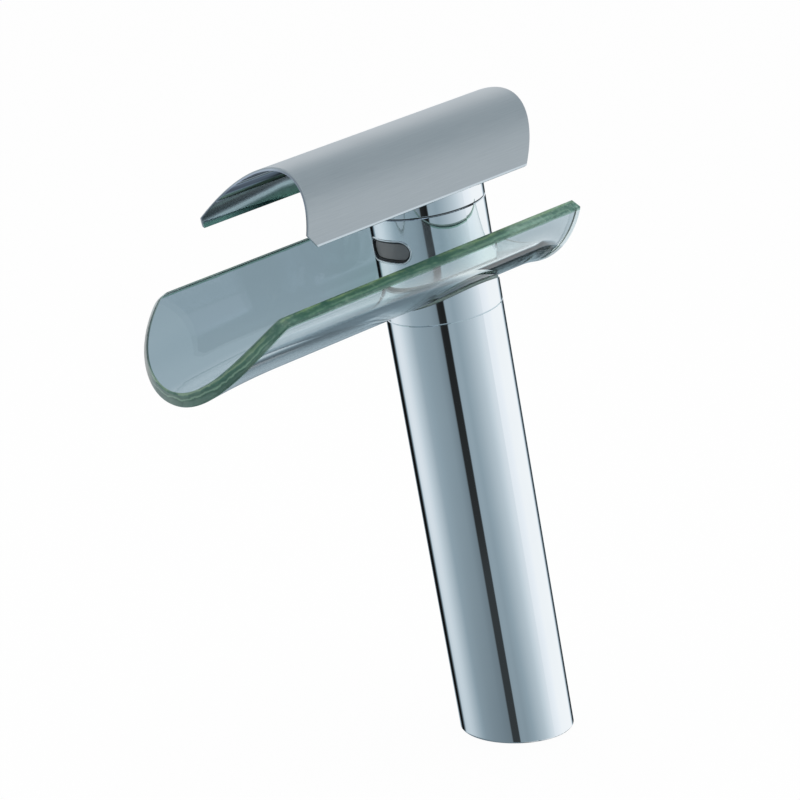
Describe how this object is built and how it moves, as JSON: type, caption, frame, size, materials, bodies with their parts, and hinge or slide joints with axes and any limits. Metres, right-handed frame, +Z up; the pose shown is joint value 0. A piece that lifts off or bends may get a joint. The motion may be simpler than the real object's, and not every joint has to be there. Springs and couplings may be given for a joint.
{
  "type": "waterfall basin faucet",
  "caption": "Tall basin tap with a round leaning column, a bent clear-glass trough as its spout and a half-round metal lever plate over it.",
  "frame": {"origin": "middle of the foot's underside, on the deck", "axes": "+Z up from the deck, -Y the way the water runs and the lever points, +X the cold side; the column leans 10 degrees towards -Y"},
  "size_m": [0.0884, 0.198, 0.284],
  "materials": {
    "chrome": "polished plating",
    "brass": "turned",
    "copper": "drawn tube",
    "rubber": "moulded",
    "clear_rubber": "moulded, half clear",
    "dark_plastic": "moulded",
    "clear_glass": "polished, ground edges",
    "mesh_steel": "fine woven mesh",
    "ceramic": "lapped",
    "steel": "turned",
    "satin_plate": "satin outside, polished inside"
  },
  "bodies": {
    "tap": {"column_tube": "chrome", "base_plug": "brass", "base_seal": "rubber", "hot_pipe": "copper", "cold_pipe": "copper", "pipe_rings": "rubber", "seat_collar": "chrome", "clamp_washer": "dark_plastic", "clamp_nut": "brass", "lower_gasket": "clear_rubber", "glass_trough": "clear_glass", "hole_sleeve": "dark_plastic", "upper_gasket": "clear_rubber", "spout_body": "chrome", "outlet_frame": "rubber", "outlet_screen": "mesh_steel", "cartridge_base": "dark_plastic", "port_seals": "rubber", "fixed_disc": "ceramic", "cartridge_housing": "dark_plastic", "retaining_nut": "brass", "seam_ring": "rubber", "bonnet": "chrome"},
    "turret": {"turret": "dark_plastic", "pivot_pin": "steel"},
    "disc": {"moving_disc": "ceramic", "disc_carrier": "dark_plastic"},
    "lever": {"lever_stem": "steel", "lever_hub": "chrome", "set_screw": "steel", "lever_plate": "satin_plate"}
  },
  "joints": [
    {"name": "swivel", "type": "hinge", "parent": "tap", "child": "turret", "pos_m": [0, -0.04418, 0.25054], "axis": [0, -0.1736, 0.9848], "range_deg": [-45, 45]},
    {"name": "tilt", "type": "hinge", "parent": "turret", "child": "lever", "pos_m": [0, -0.04418, 0.25054], "axis": [-1, 0, 0], "range_deg": [0, 25]},
    {"name": "disc_slide", "type": "slide", "parent": "turret", "child": "disc", "axis": [0, -0.9848, -0.1736], "range_m": [0, 0.00271]}
  ],
  "couplings": [
    {"joint": "disc_slide", "follows": "tilt", "m_per_rad": 0.0062}
  ]
}
